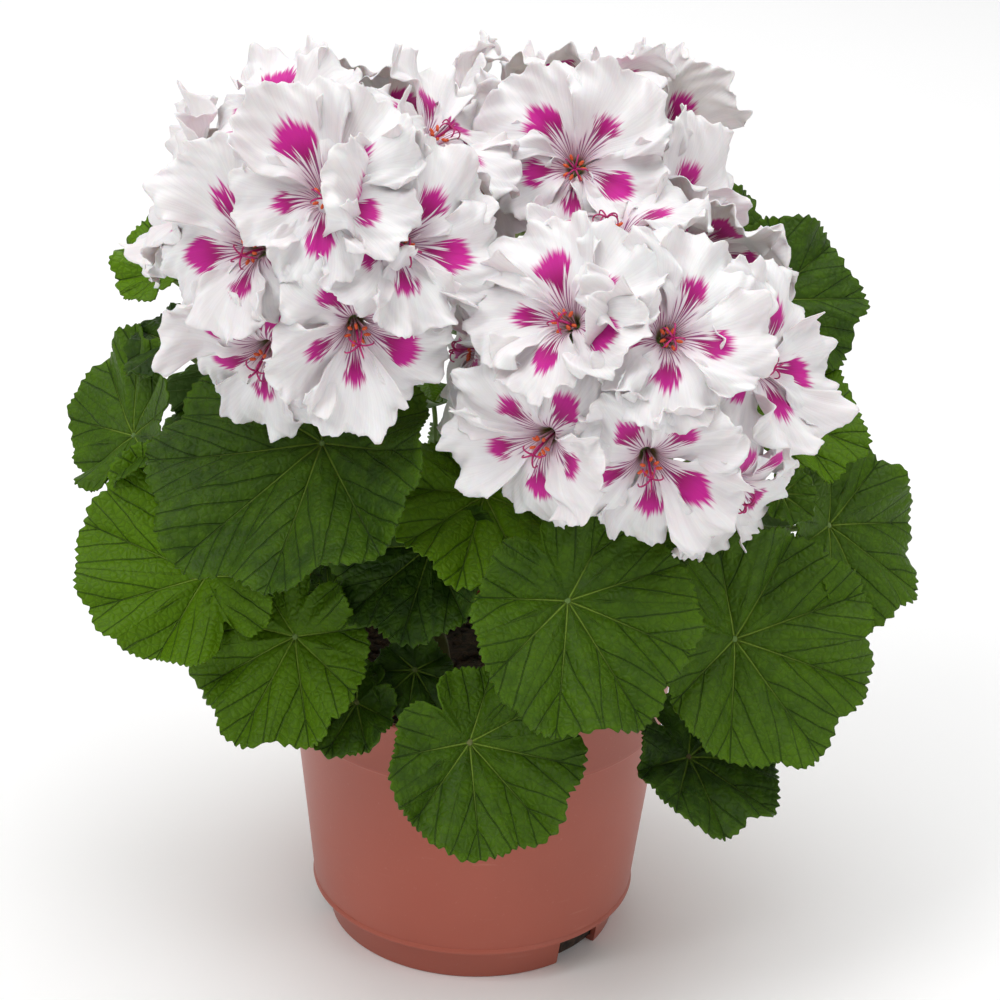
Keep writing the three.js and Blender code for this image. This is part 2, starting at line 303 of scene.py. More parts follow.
def add_mesh(name, points, faces, materials, replaced=()):
    """One object. faces is an array of quads or a list that mixes quads and triangles."""
    mesh = bpy.data.meshes.new(name)
    corners = faces.tolist() if isinstance(faces, np.ndarray) else faces
    mesh.from_pydata(points.tolist(), [], corners)
    for material in materials:
        mesh.materials.append(material)
    mesh.shade_smooth()
    piece = put(name, mesh)
    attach(piece, "root")
    if replaced:
        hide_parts(*replaced)
    return piece


def grid_faces(rows, columns, wrap=False):
    """Quads of a grid of rows x columns points, row by row."""
    row = np.arange(rows - 1)[:, None] * columns
    column = np.arange(columns if wrap else columns - 1)[None, :]
    after = (column + 1) % columns
    corners = [row + column, row + after, row + columns + after, row + columns + column]
    return np.stack([corner.ravel() for corner in corners], axis=1)


def corner_vertices(mesh):
    index = np.empty(len(mesh.loops), np.int32)
    mesh.loops.foreach_get("vertex_index", index)
    return index


def set_uv(piece, name, u, v):
    """u and v broadcast to one value for each vertex."""
    values = np.stack(np.broadcast_arrays(u, v), axis=-1).reshape(-1, 2)
    values = values[corner_vertices(piece.data)]
    layer = piece.data.uv_layers.new(name=name)
    layer.data.foreach_set("uv", values.astype(np.float32).ravel())


def set_tone(piece, value):
    """One number per piece, which its material reads."""
    layer = piece.data.attributes.new("tone", "FLOAT", "POINT")
    layer.data.foreach_set("value", np.full(len(piece.data.vertices), value, np.float32))


def thicken(piece, thickness, under_slot=0):
    solid = piece.modifiers.new("thickness", "SOLIDIFY")
    solid.thickness = thickness
    solid.offset = 0
    solid.material_offset = under_slot


def node_points(name):
    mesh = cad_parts[name].data
    points = np.empty(len(mesh.vertices) * 3)
    mesh.vertices.foreach_get("co", points)
    return points.reshape(-1, 3)


def unit(vector):
    return np.asarray(vector, float) / np.linalg.norm(vector)


def blade_frame(name):
    """Middle, normal, points and inner ring of a CAD blade or corolla. Its facets meet in two hubs."""
    points = node_points(name)
    corners = corner_vertices(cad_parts[name].data)
    cells = np.round(points[corners] / (0.02 * MM)).astype(int)
    _, first, counts = np.unique(cells, axis=0, return_index=True, return_counts=True)
    hubs = points[corners[first[np.argsort(counts)[-2:]]]]
    middle = hubs.mean(0)
    normal = unit(hubs[1] - hubs[0])
    normal = normal * np.sign(normal @ (points.mean(0) - middle))
    facets = points[corners].reshape(-1, 3, 3)
    at_hub = np.linalg.norm(facets - hubs[0], axis=2).min(1) < 0.02 * MM
    return middle, normal, points, facets[at_hub].reshape(-1, 3)


def flattened(points, middle, normal):
    """Offsets from the middle with their part along the normal taken out, and their lengths."""
    offset = points - middle
    flat = offset - np.outer(offset @ normal, normal)
    return flat, np.linalg.norm(flat, axis=1)


def capped_faces(rings, sides):
    """Faces of stacked rings. The last two points close the first ring and the last one."""
    faces = grid_faces(rings, sides, wrap=True).tolist()
    last = (rings - 1) * sides
    first_cap = rings * sides
    for i in range(sides):
        after = (i + 1) % sides
        faces.append([first_cap, after, i])
        faces.append([first_cap + 1, last + i, last + after])
    return faces


def tube(path, radii, sides=8):
    """Points and faces of a capped tube along a path, thick as radii say."""
    path = np.asarray(path, float)
    radii = np.broadcast_to(radii, len(path))
    tangents = np.gradient(path, axis=0)
    tangents /= np.linalg.norm(tangents, axis=1)[:, None]
    across = np.cross(tangents[0], (0.3, 0.9, 0.2))
    rings = []
    turns = np.linspace(0, 2 * math.pi, sides, endpoint=False)
    for middle, tangent, radius in zip(path, tangents, radii):
        across = unit(across - tangent * across.dot(tangent))
        other = np.cross(tangent, across)
        circle = np.outer(np.cos(turns), across) + np.outer(np.sin(turns), other)
        rings.append(middle + circle * radius)
    points = np.concatenate(rings + [path[:1], path[-1:]])
    return points, capped_faces(len(path), sides)


def above(point, height):
    return point + np.array([0, 0, height])


def bezier(a, b, c, d, count):
    t = np.linspace(0, 1, count)[:, None]
    return a * (1 - t) ** 3 + 3 * b * t * (1 - t) ** 2 + 3 * c * t**2 * (1 - t) + d * t**3


def add_parts(name, parts, material):
    """One object from separate parts, each with its points and faces."""
    points, faces, start = [], [], 0
    for part_points, part_faces in parts:
        points.append(part_points)
        faces.extend([[start + corner for corner in face] for face in part_faces])
        start += len(part_points)
    return add_mesh(name, np.concatenate(points), faces, (material,))


# ---- leaf material ----


def leaf_veins(paint):
    """Masks of the main veins and the side veins, and the share of the way to the margin."""
    along, across = paint.uv("veins")
    share = paint.uv("share")[0]
    reach = paint.math("ABSOLUTE", across)
    main_width = paint.line(share, -0.5, 0.75)
    main = paint.step(reach, main_width, 0.12)
    wobble = paint.noise(paint.place(), 70.0)
    order = paint.minus(along, paint.times(reach, SIDE_VEIN_SLOPE))
    order = paint.line(wobble, 5.0, order)
    cycle = paint.math("FRACT", paint.math("DIVIDE", order, VEIN_SPACING / MM))
    offset = paint.math("ABSOLUTE", paint.minus(cycle, 0.5))
    side = paint.step(offset, 0.06, 0.012)
    side = paint.times(side, paint.step(along, 6.0, 14.0))
    return main, side, share


def leaf_material(name, dark, fresh, vein_near, vein_far, relief):
    paint = Paint(name)
    main, side, share = leaf_veins(paint)
    tone = paint.attribute("tone")
    place = paint.place()
    net = paint.cells(place, 430.0)
    clouds = paint.noise(place, 30.0, 3.0)
    mottle = paint.noise(place, 240.0, 3.0)
    ripe = paint.plus(tone, paint.line(clouds, 0.7, -0.3))
    base = paint.mix(ripe, dark, fresh)
    shade = paint.mix(paint.step(mottle, 0.3, 0.8), base, paint.mix(0.3, base, fresh))
    shade = paint.mix(paint.times(paint.step(share, 0.9, 1.0), 0.2), shade, fresh)
    cell_edges = paint.step(net, 0.09, 0.0)
    shade = paint.mix(paint.times(cell_edges, 0.3), shade, dark)
    # Toward the margin the veins take vein_far; on the upper side that is darker than the blade, painted
    # shade in the sunken veins.
    vein_color = paint.mix(paint.step(share, 0.05, 0.85), vein_near, vein_far)
    shade = paint.mix(paint.times(side, 0.55), shade, vein_far)
    shade = paint.mix(paint.times(main, 0.65), shade, vein_color)
    veins = paint.math("MAXIMUM", main, paint.times(side, 0.7))
    height = paint.line(paint.step(net, 0.0, 0.35), 0.45, paint.times(veins, -1.0))
    normal = paint.bump(height, relief)
    normal = paint.bump(mottle, 0.35 * MM, 0.5, normal)
    normal = paint.bump(paint.noise(place, 2600.0), 0.12 * MM, 0.5, normal)
    rough = paint.line(mottle, 0.2, 0.40)
    return paint.finish(shade, rough, normal, 0.16, 0.01, (0.05, 0.5 * MM))


# ---- leaves ----


def leaf_margin(angle):
    """The CAD blade's outline: distance from the junction, as a share of its radius."""
    return 0.92 + 0.25 * np.cos(angle) + 0.03 * np.cos(7 * angle)


def leaf_frame(name):
    """Junction, tip direction, side, normal and radius of a CAD blade."""
    junction, normal, points, ring = blade_frame(name)
    flat, length = flattened(ring, junction, normal)
    notch = np.where(length > 0.3 * MM, length, np.inf).argmin()
    tip = -unit(flat[notch])
    side = np.cross(normal, tip)
    flat, length = flattened(points, junction, normal)
    angle = np.arctan2(flat @ side, flat @ tip)
    ratio = np.where(np.abs(angle) < 2.9, length / leaf_margin(angle), 0)
    return junction, tip, side, normal, np.sort(ratio)[-3:].mean()


def sinus(angle, width):
    """Rounded shoulders on both sides of the cut that runs in to the junction."""
    from_cut = math.pi - np.abs(angle)
    return 1 - 0.34 * np.exp(-(((from_cut - width) / 0.11) ** 2))


def margin_lobes(angle, rng):
    """Shallow scallops between the main veins."""
    veins = np.array(MAIN_VEINS)
    scallops = np.ones_like(angle)
    for notch in (veins[1:] + veins[:-1]) / 2:
        depth = rng.uniform(0.04, 0.11)
        scallops -= depth * np.exp(-np.abs((angle - notch) / 0.13) ** 1.4)
    return scallops


def margin_teeth(angle, radius, rng):
    """Small forward teeth, a little uneven."""
    count = 2 * math.pi * radius / TOOTH_PITCH
    order = angle * count / (2 * math.pi) + 0.5 * np.sin(angle * 7 + rng.uniform(0, 6))
    ramp = order % 1
    tooth = np.where(ramp < 0.6, ramp / 0.6, (1 - ramp) / 0.4)
    depth = TOOTH_DEPTH * (1 + 0.4 * np.sin(order * 1.7)) / radius
    return 1 - depth * (1 - tooth)


def leaf_relief(along, across, share):
    """How far the veins sink into the upper side and the tissue between them swells."""
    reach = np.abs(across)
    groove = np.exp(-((reach / (1.3 * MM)) ** 2)) * (1 - 0.3 * share)
    order = (along - SIDE_VEIN_SLOPE * reach) / VEIN_SPACING
    swell = 0.5 - 0.5 * np.cos(2 * math.pi * (order - 0.5))
    swell = swell * np.clip(reach / (4 * MM), 0, 1) * np.clip(along / (12 * MM), 0, 1)
    puff = 1 - np.exp(-((reach / (6 * MM)) ** 2))
    return MAIN_SWELL * puff + SIDE_SWELL * swell - VEIN_GROOVE * groove


def add_blade(name, place, radius, materials, replaced=()):
    """A leaf blade. place is its junction, tip direction, side and normal."""
    junction, tip, side, normal = place
    rng = rng_for(name)
    columns, rows = (441, 26) if radius > 20 * MM else (241, 16)
    cut = rng.uniform(-0.12, -0.05)
    angle = np.linspace(-math.pi + cut, math.pi - cut, columns)
    share = np.linspace(0.002, 1, rows)[:, None] ** 0.85
    lobes = leaf_margin(angle) * sinus(angle, max(cut, 0.0)) * margin_lobes(angle, rng)
    teeth = 1 + (margin_teeth(angle, radius, rng) - 1) * np.clip((share - 0.86) / 0.14, 0, 1) ** 2
    reach = share * lobes * teeth * radius * LEAF_SCALE
    veins = np.array(MAIN_VEINS)
    turn = angle - veins[np.abs(angle[:, None] - veins[None, :]).argmin(1)]
    along = reach * np.cos(turn)
    across = reach * np.sin(turn)
    cup = LEAF_CUP * share**2 * rng.uniform(0.8, 1.2)
    wave = LEAF_WAVE * share**2 * np.sin(5 * angle + phase(rng))
    wave = wave + LEAF_RIPPLE * share**3 * np.sin(11 * angle + phase(rng))
    fold = 0.10 * share * np.abs(np.sin(angle)) * rng.uniform(-0.2, 0.8)
    droop = -0.10 * share**3 * np.clip(np.cos(angle), 0, 1) * rng.uniform(0, 1.6)
    dimple = -0.9 * MM * np.exp(-((reach / (4 * MM)) ** 2))
    overlap = 0.35 * MM * share * np.sign(angle) * np.exp(-((math.pi - np.abs(angle)) / 0.3).clip(0))
    height = radius * (cup + wave + fold + droop) + leaf_relief(along, across, share) + dimple + overlap
    local = np.stack([reach * np.cos(angle), reach * np.sin(angle), height], axis=-1).reshape(-1, 3)
    points = junction + local @ np.stack([tip, side, normal])
    piece = add_mesh(name, points, grid_faces(rows, columns)[:, ::-1], materials, replaced)
    set_uv(piece, "veins", along / MM, across / MM)
    set_uv(piece, "share", np.repeat(share, columns), np.repeat(share, columns))
    thicken(piece, LEAF_THICK, 1)
    set_tone(piece, LEAF_TONES.get(name.removesuffix("_blade"), rng.uniform(0.0, 0.5)))


def build_young_leaves(materials, green):
    """Small leaves low inside the plant, on short stalks from the nearest stem."""
    stem_points = np.concatenate([node_points(name) for name in STEM_NODES])
    soil_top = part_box("soil")[1].z
    stalks = []
    for i, (turn, reach, rise, radius) in enumerate(YOUNG_LEAVES):
        out = np.array([math.sin(math.radians(turn)), -math.cos(math.radians(turn)), 0.0])
        junction = above(out * reach * MM, soil_top + rise * MM)
        normal = unit(out * 0.45 + np.array([0, -0.35, 1.0]))
        tip = unit(out - normal * (out @ normal))
        low = above(junction, -YOUNG_LEAF_TOP)
        start = stem_points[np.linalg.norm(stem_points - low, axis=1).argmin()]
        bend = above((start + junction) / 2, 5 * MM)
        end = junction - normal * 0.8 * MM
        path = bezier(start, bend, junction - normal * 8 * MM, end, 12)
        stalks.append(tube(path, 0.9 * MM))
        place = (junction, tip, np.cross(normal, tip), normal)
        add_blade(f"young_leaf_{i + 1}", place, radius * MM, materials)
    add_parts("young_leaf_stalks", stalks, green)


def build_leaves():
    upper = leaf_material(
        "leaf_upper", relief=0.5 * MM, dark=rgb(32, 56, 8), fresh=rgb(90, 128, 2),
        # vein_far here is darker than the blade: painted shade in the sunken veins.
        vein_near=rgb(140, 168, 64), vein_far=rgb(28, 50, 8),
    )
    under = leaf_material(
        "leaf_under", relief=0.3 * MM, dark=rgb(74, 102, 48), fresh=rgb(110, 140, 72),
        vein_near=rgb(155, 174, 108), vein_far=rgb(120, 144, 80),
    )
    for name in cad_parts:
        if name.startswith("leaf_"):
            *place, radius = leaf_frame(name)
            add_blade(name + "_blade", place, radius, (upper, under), [name])
    green = stem_material("young_stalk", rgb(96, 124, 56), rgb(126, 150, 78), 0.3)
    build_young_leaves((upper, under), green)


# ---- petal material ----


def petal_material():
    """White tissue with dark veins in the throat that run into a feathered magenta blotch."""
    paint = Paint("petal_tissue")
    across_share, length = paint.uv("petal")
    tone = paint.attribute("tone")
    row = paint.times(tone, 37.0)
    across = paint.line(across_share, 2.0, -1.0)
    broad = paint.noise(paint.vector(paint.times(across, 3.0), length, row), 1.3, 1.0)
    bent = paint.plus(across, paint.line(broad, 0.3, -0.15))
    reach = paint.math("ABSOLUTE", bent)
    strands = paint.vector(paint.times(across, 19.0), paint.times(length, 1.5), row)
    streaks = paint.noise(strands, 1.0, 3.0)
    fine = paint.noise(paint.vector(paint.times(across, 40.0), length, row), 1.0, 2.0)
    # the blotch: a flame with feathered ends
    size = paint.line(tone, 0.16, 0.57)
    outer = paint.line(streaks, 0.27, paint.minus(size, 0.155))
    outer = paint.minus(outer, paint.times(reach, 0.22))
    outer_edge = paint.step(length, paint.plus(outer, 0.09), outer)
    inner = paint.line(streaks, 0.7, -0.03)
    inner = paint.plus(inner, paint.times(reach, 0.30))
    inner_edge = paint.step(length, inner, paint.plus(inner, 0.07))
    swell = paint.math("SINE", paint.times(paint.step(length, 0.1, 0.95), math.pi))
    flank = paint.times(swell, paint.line(tone, 0.12, 0.33))
    flank = paint.plus(flank, paint.line(fine, 0.34, -0.17))
    side_edge = paint.step(reach, paint.plus(flank, 0.09), flank)
    blotch = paint.times(paint.times(outer_edge, inner_edge), side_edge)
    # the veins: lines that fan out of the throat, the middle ones longest
    cycle = paint.math("FRACT", paint.times(bent, 5.2))
    line = paint.math("ABSOLUTE", paint.minus(cycle, 0.5))
    width = paint.line(length, 0.30, 0.15)
    lines = paint.step(line, width, paint.times(width, 0.4))
    vein_reach = paint.line(reach, -0.34, 0.50)
    vein_reach = paint.line(fine, 0.16, paint.minus(vein_reach, 0.08))
    vein_end = paint.step(length, paint.plus(vein_reach, 0.07), vein_reach)
    vein_start = paint.step(length, 0.06, 0.16)
    veins = paint.times(paint.times(lines, vein_end), vein_start)
    # the colours, from the white ground up
    white = paint.mix(paint.step(broad, 0.3, 0.7), rgb(244, 241, 241), rgb(234, 230, 231))
    nerves = paint.times(paint.step(fine, 0.55, 0.42), 0.10)
    tissue = paint.mix(nerves, white, rgb(204, 194, 202))
    flush = paint.times(paint.step(length, 0.56, 0.18), 0.5)
    tissue = paint.mix(flush, tissue, rgb(222, 184, 206))
    tissue = paint.mix(paint.step(length, 0.19, 0.08), tissue, rgb(142, 140, 92))
    tissue = paint.mix(paint.times(veins, 0.9), tissue, rgb(140, 24, 110))
    # The blotch's inner end, toward the throat, gets the blotch's colour in shadow: painted shade; its
    # outer end gets the lit colour.
    magenta = paint.mix(paint.step(length, 0.36, 0.66), rgb(146, 0, 92), rgb(212, 36, 158))
    magenta = paint.mix(paint.times(fine, 0.4), magenta, rgb(160, 8, 108))
    tissue = paint.mix(blotch, tissue, magenta)
    normal = paint.bump(fine, 0.3 * MM, 0.5)
    normal = paint.bump(broad, 1.2 * MM, 0.4, normal)
    normal = paint.bump(paint.noise(paint.place(), 2400.0), 0.06 * MM, 0.4, normal)
    return paint.finish(tissue, 0.55, normal, 0.25, 0.05, (0.15, 1.0 * MM))


# ---- florets ----


class Floret:
    def __init__(self, name, order):
        self.name = name
        self.throat, self.facing = blade_frame(name)[:2]
        upward = np.array([0.05, 0.1, 1.0])
        self.up = unit(upward - self.facing * (upward @ self.facing))
        self.right = np.cross(self.up, self.facing)
        self.order = order
        self.rng = rng_for(name)

    def local(self, points):
        offset = points - self.throat
        return offset @ self.right, offset @ self.up, offset @ self.facing

    def sideways(self, turn):
        return self.right * math.cos(turn) + self.up * math.sin(turn)

    def world(self, x, y, z):
        return self.throat + x[..., None] * self.right + y[..., None] * self.up + z[..., None] * self.facing


def flare(length_share):
    """Radial distance and height of a petal's middle line, as shares of its length."""
    fine = np.linspace(0, 1, 200)
    slope = np.radians(BOWL_SLOPE * np.exp(-((fine / BOWL_DEPTH) ** 2)) + 9 - 20 * fine**3)
    radial = np.concatenate([[0], np.cumsum(np.cos(slope))[:-1]]) / 200
    height = np.concatenate([[0], np.cumsum(np.sin(slope))[:-1]]) / 200
    return np.interp(length_share, fine, radial), np.interp(length_share, fine, height)


def bowl_height(distance):
    """Height of a floret's petals above its throat at a distance from its middle."""
    radial, height = flare(np.linspace(0, 1, 60))
    return np.interp(distance, radial * PETAL_LENGTH, height * PETAL_LENGTH)


def crowding(floret, others, middle_turn):
    """0 to 1: how close a neighbour stands in the direction of a petal."""
    direction = floret.right * math.sin(middle_turn) + floret.up * math.cos(middle_turn)
    most = 0.0
    for other in others:
        gap = other.throat - floret.throat
        distance = np.linalg.norm(gap)
        if other.order <= floret.order or distance > NEIGHBOUR_REACH:
            continue
        closeness = min((NEIGHBOUR_REACH - distance) / (0.9 * PETAL_LENGTH), 1.0)
        most = max(most, closeness * max(unit(gap) @ direction, 0.0) ** 2)
    return most


def petal_margin(across, share, rng):
    """The rounded end of a petal with its lobes and small teeth, as a factor on its length."""
    lobes = 0.0
    for depth, slowest, fastest in ((0.026, 6, 9), (0.020, 15, 20), (0.012, 30, 38)):
        wave = np.sin(across * rng.uniform(slowest, fastest) + rng.uniform(0, 6))
        lobes = lobes + depth * wave
    teeth = 0.024 * rng.random(across.shape[1])[None, :]
    end = 1 - 0.26 * np.abs(across) ** 3
    return end * (1 + (lobes - teeth) * share**5)


def petal_ruffles(across, share, crowd, rng):
    """Height of a petal's curl, waves and creases. Crowded petals are ruffled more."""
    edge = np.abs(across)
    fuller = 1 + 0.7 * crowd
    curl = rng.uniform(-0.02, 0.16) * across**2
    along = share * rng.uniform(8, 12) + across * rng.uniform(1, 3) + phase(rng)
    ruffle = rng.uniform(*RUFFLE) * fuller * edge**1.5 * np.sin(along)
    frill = rng.uniform(*FRILL) * fuller * share**3
    frill = frill * np.sin(across * rng.uniform(7, 11) + phase(rng))
    crimp = CRIMP * np.maximum(share, edge) ** 6
    crimp = crimp * np.sin(across * 23 + share * 29 + phase(rng))
    crease = CREASE * share * np.sin(across * rng.uniform(11, 15) + phase(rng))
    return curl + ruffle + frill + crimp + crease


def upper_share(floret):
    """1 where a floret's upper petals are at their longest, 0 where it hangs or faces up."""
    rise = floret.facing[2]
    return np.clip(0.6 + 2 * rise, 0, 1) * np.clip(3 * (0.8 - rise), 0, 1)


def petal_points(floret, others, number, rng):
    """Grid of world points of one petal; rows go from the throat to the margin."""
    middle = math.radians(360 / PETALS * (number + 0.5)) + rng.uniform(-0.12, 0.12)
    crowd = crowding(floret, others, middle)
    across = np.linspace(-1, 1, 61)[None, :]
    share = np.linspace(0, 1, 46)[:, None]
    tall = upper_share(floret) if number in (0, PETALS - 1) else 0.0
    length = PETAL_LENGTH * rng.uniform(0.95, 1.08) * (1 + UPPER_GAIN * tall)
    widening = 0.62 + 0.38 * np.sin(np.clip(share * 1.3, 0, 1) * math.pi / 2)
    spread = math.radians(rng.uniform(*PETAL_SPREAD)) * widening
    radial, height = flare(share)
    radial = (radial * petal_margin(across, share, rng) + 0.05) * length
    ruffles = petal_ruffles(across, share, crowd, rng)
    lift = CROWD_LIFT * crowd * (1 - 0.8 * max(floret.facing[2], 0))
    attitude = (np.clip(rng.normal(-0.05, 0.12), -0.24, 0.22) + lift) * share
    keel = -0.02 * np.exp(-((across / 0.14) ** 2))
    tuck = 0.07 * across * (1 if number % 2 else -1)
    height = height * length + length * share**1.5 * (ruffles + keel + tuck + attitude)
    turn = middle + spread * across + 0.05 * np.sin(share * 5 + phase(rng))
    return floret.world(radial * np.sin(turn), radial * np.cos(turn), height), across, share


def soft_window(value, width, fade):
    """1 from 0 to width, easing to 0 over fade on its far side."""
    return np.clip((width + fade - value) / fade, 0, 1) * (value > 0)


def push_under(points, floret, others):
    """Petal points that a neighbour's petals would cross go below those petals."""
    for other in others:
        if other.order >= floret.order:
            continue
        if np.linalg.norm(other.throat - floret.throat) > 2.2 * PETAL_LENGTH:
            continue
        x, y, z = other.local(points)
        distance = np.hypot(x, y)
        inside = np.clip((1.0 * PETAL_LENGTH - distance) / (10 * MM), 0, 1)
        excess = z - bowl_height(distance) + 2.5 * MM
        depth = np.clip(excess, 0, TUCK) * soft_window(excess, TUCK, TUCK)
        points = points - (inside * depth)[..., None] * other.facing
    return points


def build_petals(floret, others, material):
    for number in range(PETALS):
        rng = rng_for(f"{floret.name}_{number}")
        points, across, share = petal_points(floret, others, number, rng)
        points = push_under(points, floret, others)
        rows, columns = points.shape[:2]
        petal = add_mesh(
            f"{floret.name}_petal_{number + 1}", points.reshape(-1, 3),
            grid_faces(rows, columns), (material,), [floret.name],
        )
        set_uv(petal, "petal", across * 0.5 + 0.5, share)
        set_tone(petal, rng.random())
        thicken(petal, PETAL_THICK)


def plain_paint(name, low, high, roughness, scale, scatter=None):
    """Two shades mixed by fine noise, with a little relief."""
    paint = Paint(name)
    place = paint.place()
    blend = paint.noise(place, scale, 3.0)
    color = paint.mix(paint.step(blend, 0.3, 0.7), low, high)
    normal = paint.bump(paint.noise(place, scale * 4), 0.1 * MM, 0.5)
    return paint.finish(color, roughness, normal, scatter=scatter)


def build_pistil(floret, material):
    """A style with five curled stigma arms."""
    rng = floret.rng
    lean = floret.facing - 0.25 * floret.up
    base = floret.throat + floret.facing * 1.0 * MM
    top = base + unit(lean) * STYLE_LENGTH + floret.up * 0.6 * MM
    style = bezier(base, base + floret.facing * 5 * MM, top - unit(lean) * 4 * MM, top, 8)
    tubes = [tube(style, 0.42 * MM, 6)]
    for i in range(5):
        turn = 2 * math.pi * i / 5 + rng.uniform(-0.25, 0.25)
        out = floret.sideways(turn)
        size = rng.uniform(3.4, 4.6) * MM
        curl = rng.uniform(0.3, 0.9)
        ahead = floret.facing * size
        aside = out * size
        tip = top + aside * (1.2 - 0.4 * curl) - ahead * 0.35 * curl
        low_bend = top + ahead * 0.5 + aside * 0.3
        arm = bezier(top, low_bend, top + aside * 1.1 + ahead * 0.45, tip, 9)
        tubes.append(tube(arm, np.linspace(0.34, 0.2, 9) * MM, 6))
    add_parts(f"{floret.name}_pistil", tubes, material)


def build_stamens(floret, filament, anther):
    rng = floret.rng
    filaments, anthers = [], []
    for i in range(STAMENS):
        turn = 2 * math.pi * i / STAMENS + rng.uniform(-0.3, 0.3)
        out = floret.sideways(turn)
        base = floret.throat + floret.facing * 0.8 * MM + out * 0.8 * MM
        rise = rng.uniform(7.5, 9.5) * MM
        top = base + floret.facing * rise + out * rng.uniform(1.2, 2.6) * MM - floret.up * 1.2 * MM
        low_bend = base + floret.facing * rise * 0.4
        high_bend = top - floret.facing * rise * 0.3
        filaments.append(tube(bezier(base, low_bend, high_bend, top, 6), 0.24 * MM, 5))
        along = unit(out + floret.facing * rng.uniform(0.1, 0.7))
        ends = np.linspace(-1, 1, 7)
        width = 0.55 * MM * np.sqrt(1.02 - ends**2)
        anthers.append(tube([top + along * end * 1.1 * MM for end in ends], width, 6))
    add_parts(f"{floret.name}_filaments", filaments, filament)
    add_parts(f"{floret.name}_anthers", anthers, anther)


def sepal(floret, turn, length):
    """A narrow pointed leaflet behind the petals."""
    rows, columns = 10, 5
    share = np.linspace(0, 1, rows)[:, None]
    across = np.linspace(-1, 1, columns)[None, :]
    width = 2.1 * MM * np.sin(np.clip(share * 0.86 + 0.14, 0, 1) * math.pi) ** 0.8
    radial = (1.2 * MM + length * share * 0.82) * np.ones_like(across)
    height = -1.6 * MM + length * (0.26 * share - 0.30 * share**2) + 0.6 * MM * across**2
    turned = turn + across * width / np.maximum(radial, 1.5 * MM)
    return floret.world(radial * np.sin(turned), radial * np.cos(turned), height)


def build_calyx(floret, material):
    rng = floret.rng
    parts = []
    for i in range(5):
        turn = math.radians(72 * i) + rng.uniform(-0.1, 0.1)
        grid = sepal(floret, turn, rng.uniform(10, 13) * MM)
        rows, columns = grid.shape[:2]
        parts.append((grid.reshape(-1, 3), grid_faces(rows, columns).tolist()))
    piece = add_parts(f"{floret.name}_sepals", parts, material)
    thicken(piece, 0.4 * MM)


def bud(base, direction, length, radius):
    """An oval closed bud."""
    along = np.linspace(0, 1, 9)
    width = radius * np.sin(np.clip(along * 0.93 + 0.05, 0, 1) * math.pi) ** 0.7
    return tube([base + direction * length * share for share in along], width, 8)


def furled_petals(base, direction, length, radius, rng):
    """The rolled corolla of a floret that is just opening, as rings of points."""
    across = unit(np.cross(direction, (0.3, 0.9, 0.2)))
    other = np.cross(direction, across)
    rows, columns = 26, 48
    share = np.linspace(0, 1, rows)[:, None]
    turn = np.linspace(0, 2 * math.pi, columns, endpoint=False)[None, :]
    body = np.sin(np.clip(share * 0.72 + 0.1, 0, 1) * math.pi) ** 0.8
    lips = 1 + 0.22 * share**2 * np.sin(5 * turn + 4 * share + phase(rng))
    lips = lips + 0.10 * share**3 * np.sin(13 * turn + phase(rng))
    ring = radius * body * lips
    rise = length * (share + 0.07 * share**3 * np.sin(5 * turn + phase(rng)))
    outward = np.cos(turn)[..., None] * across + np.sin(turn)[..., None] * other
    return base + ring[..., None] * outward + rise[..., None] * direction, share, turn


def build_opening_bud(name, base, direction, petal, rng):
    length = rng.uniform(17, 21) * MM
    radius = rng.uniform(6, 7.5) * MM
    points, share, turn = furled_petals(base, direction, length, radius, rng)
    rows, columns = points.shape[:2]
    faces = grid_faces(rows, columns, wrap=True)[:, ::-1]
    piece = add_mesh(name, points.reshape(-1, 3), faces, (petal,))
    set_uv(piece, "petal", turn / (2 * math.pi), 0.8 + 0.2 * share)
    set_tone(piece, rng.random())
    thicken(piece, PETAL_THICK)


def gap_directions(florets, rng, clearance, limit):
    """Directions out of the hub that stay clear of the florets, the clearest first."""
    used = [floret.facing for floret in florets]
    tried = [unit(v + np.array([0, -0.5, 0.3])) for v in rng.normal(size=(600, 3))]
    found = []
    while len(found) < limit:
        best = min(tried, key=lambda direction: max(direction @ other for other in used))
        if max(best @ other for other in used) > clearance:
            break
        used.append(best)
        found.append(best)
    return found


def build_buds(umbel, florets, paints):
    """Opening and closed buds in the gaps between the florets, and bracts round the hub."""
    rng = rng_for(f"buds_{umbel}")
    hub = np.mean([floret.throat - floret.facing * HUB_DISTANCE for floret in florets], axis=0)
    stalks, buds = [], []
    for i, direction in enumerate(gap_directions(florets, rng, BUD_CLEARANCE, BUDS)):
        x, y, z = direction
        opening = y < 0.3 and abs(x) < 0.8 and -0.75 < z < 0.8
        reach = rng.uniform(21, 24) * MM if opening else rng.uniform(18, 25) * MM
        tip = hub + direction * reach
        bend = above(hub + direction * reach * 0.5, -1.5 * MM)
        stalks.append(tube(bezier(hub, bend, bend, tip, 7), 0.8 * MM, 6))
        if opening:
            build_opening_bud(f"opening_bud_{umbel}_{i + 1}", tip, direction, paints["petal"], rng)
            buds.append(bud(tip - direction * 3 * MM, direction, 10 * MM, 3.4 * MM))
        else:
            buds.append(bud(tip, direction, rng.uniform(9, 13) * MM, rng.uniform(2.2, 3.2) * MM))
    for i in range(BRACTS):
        turn = 2 * math.pi * i / BRACTS
        out = unit([math.cos(turn), math.sin(turn), rng.uniform(0.1, 0.9)])
        buds.append(bud(above(hub, -2 * MM), out, rng.uniform(7, 10) * MM, 1.6 * MM))
    add_parts(f"bud_stalks_{umbel}", stalks, paints["green"])
    add_parts(f"buds_{umbel}", buds, paints["pale"])


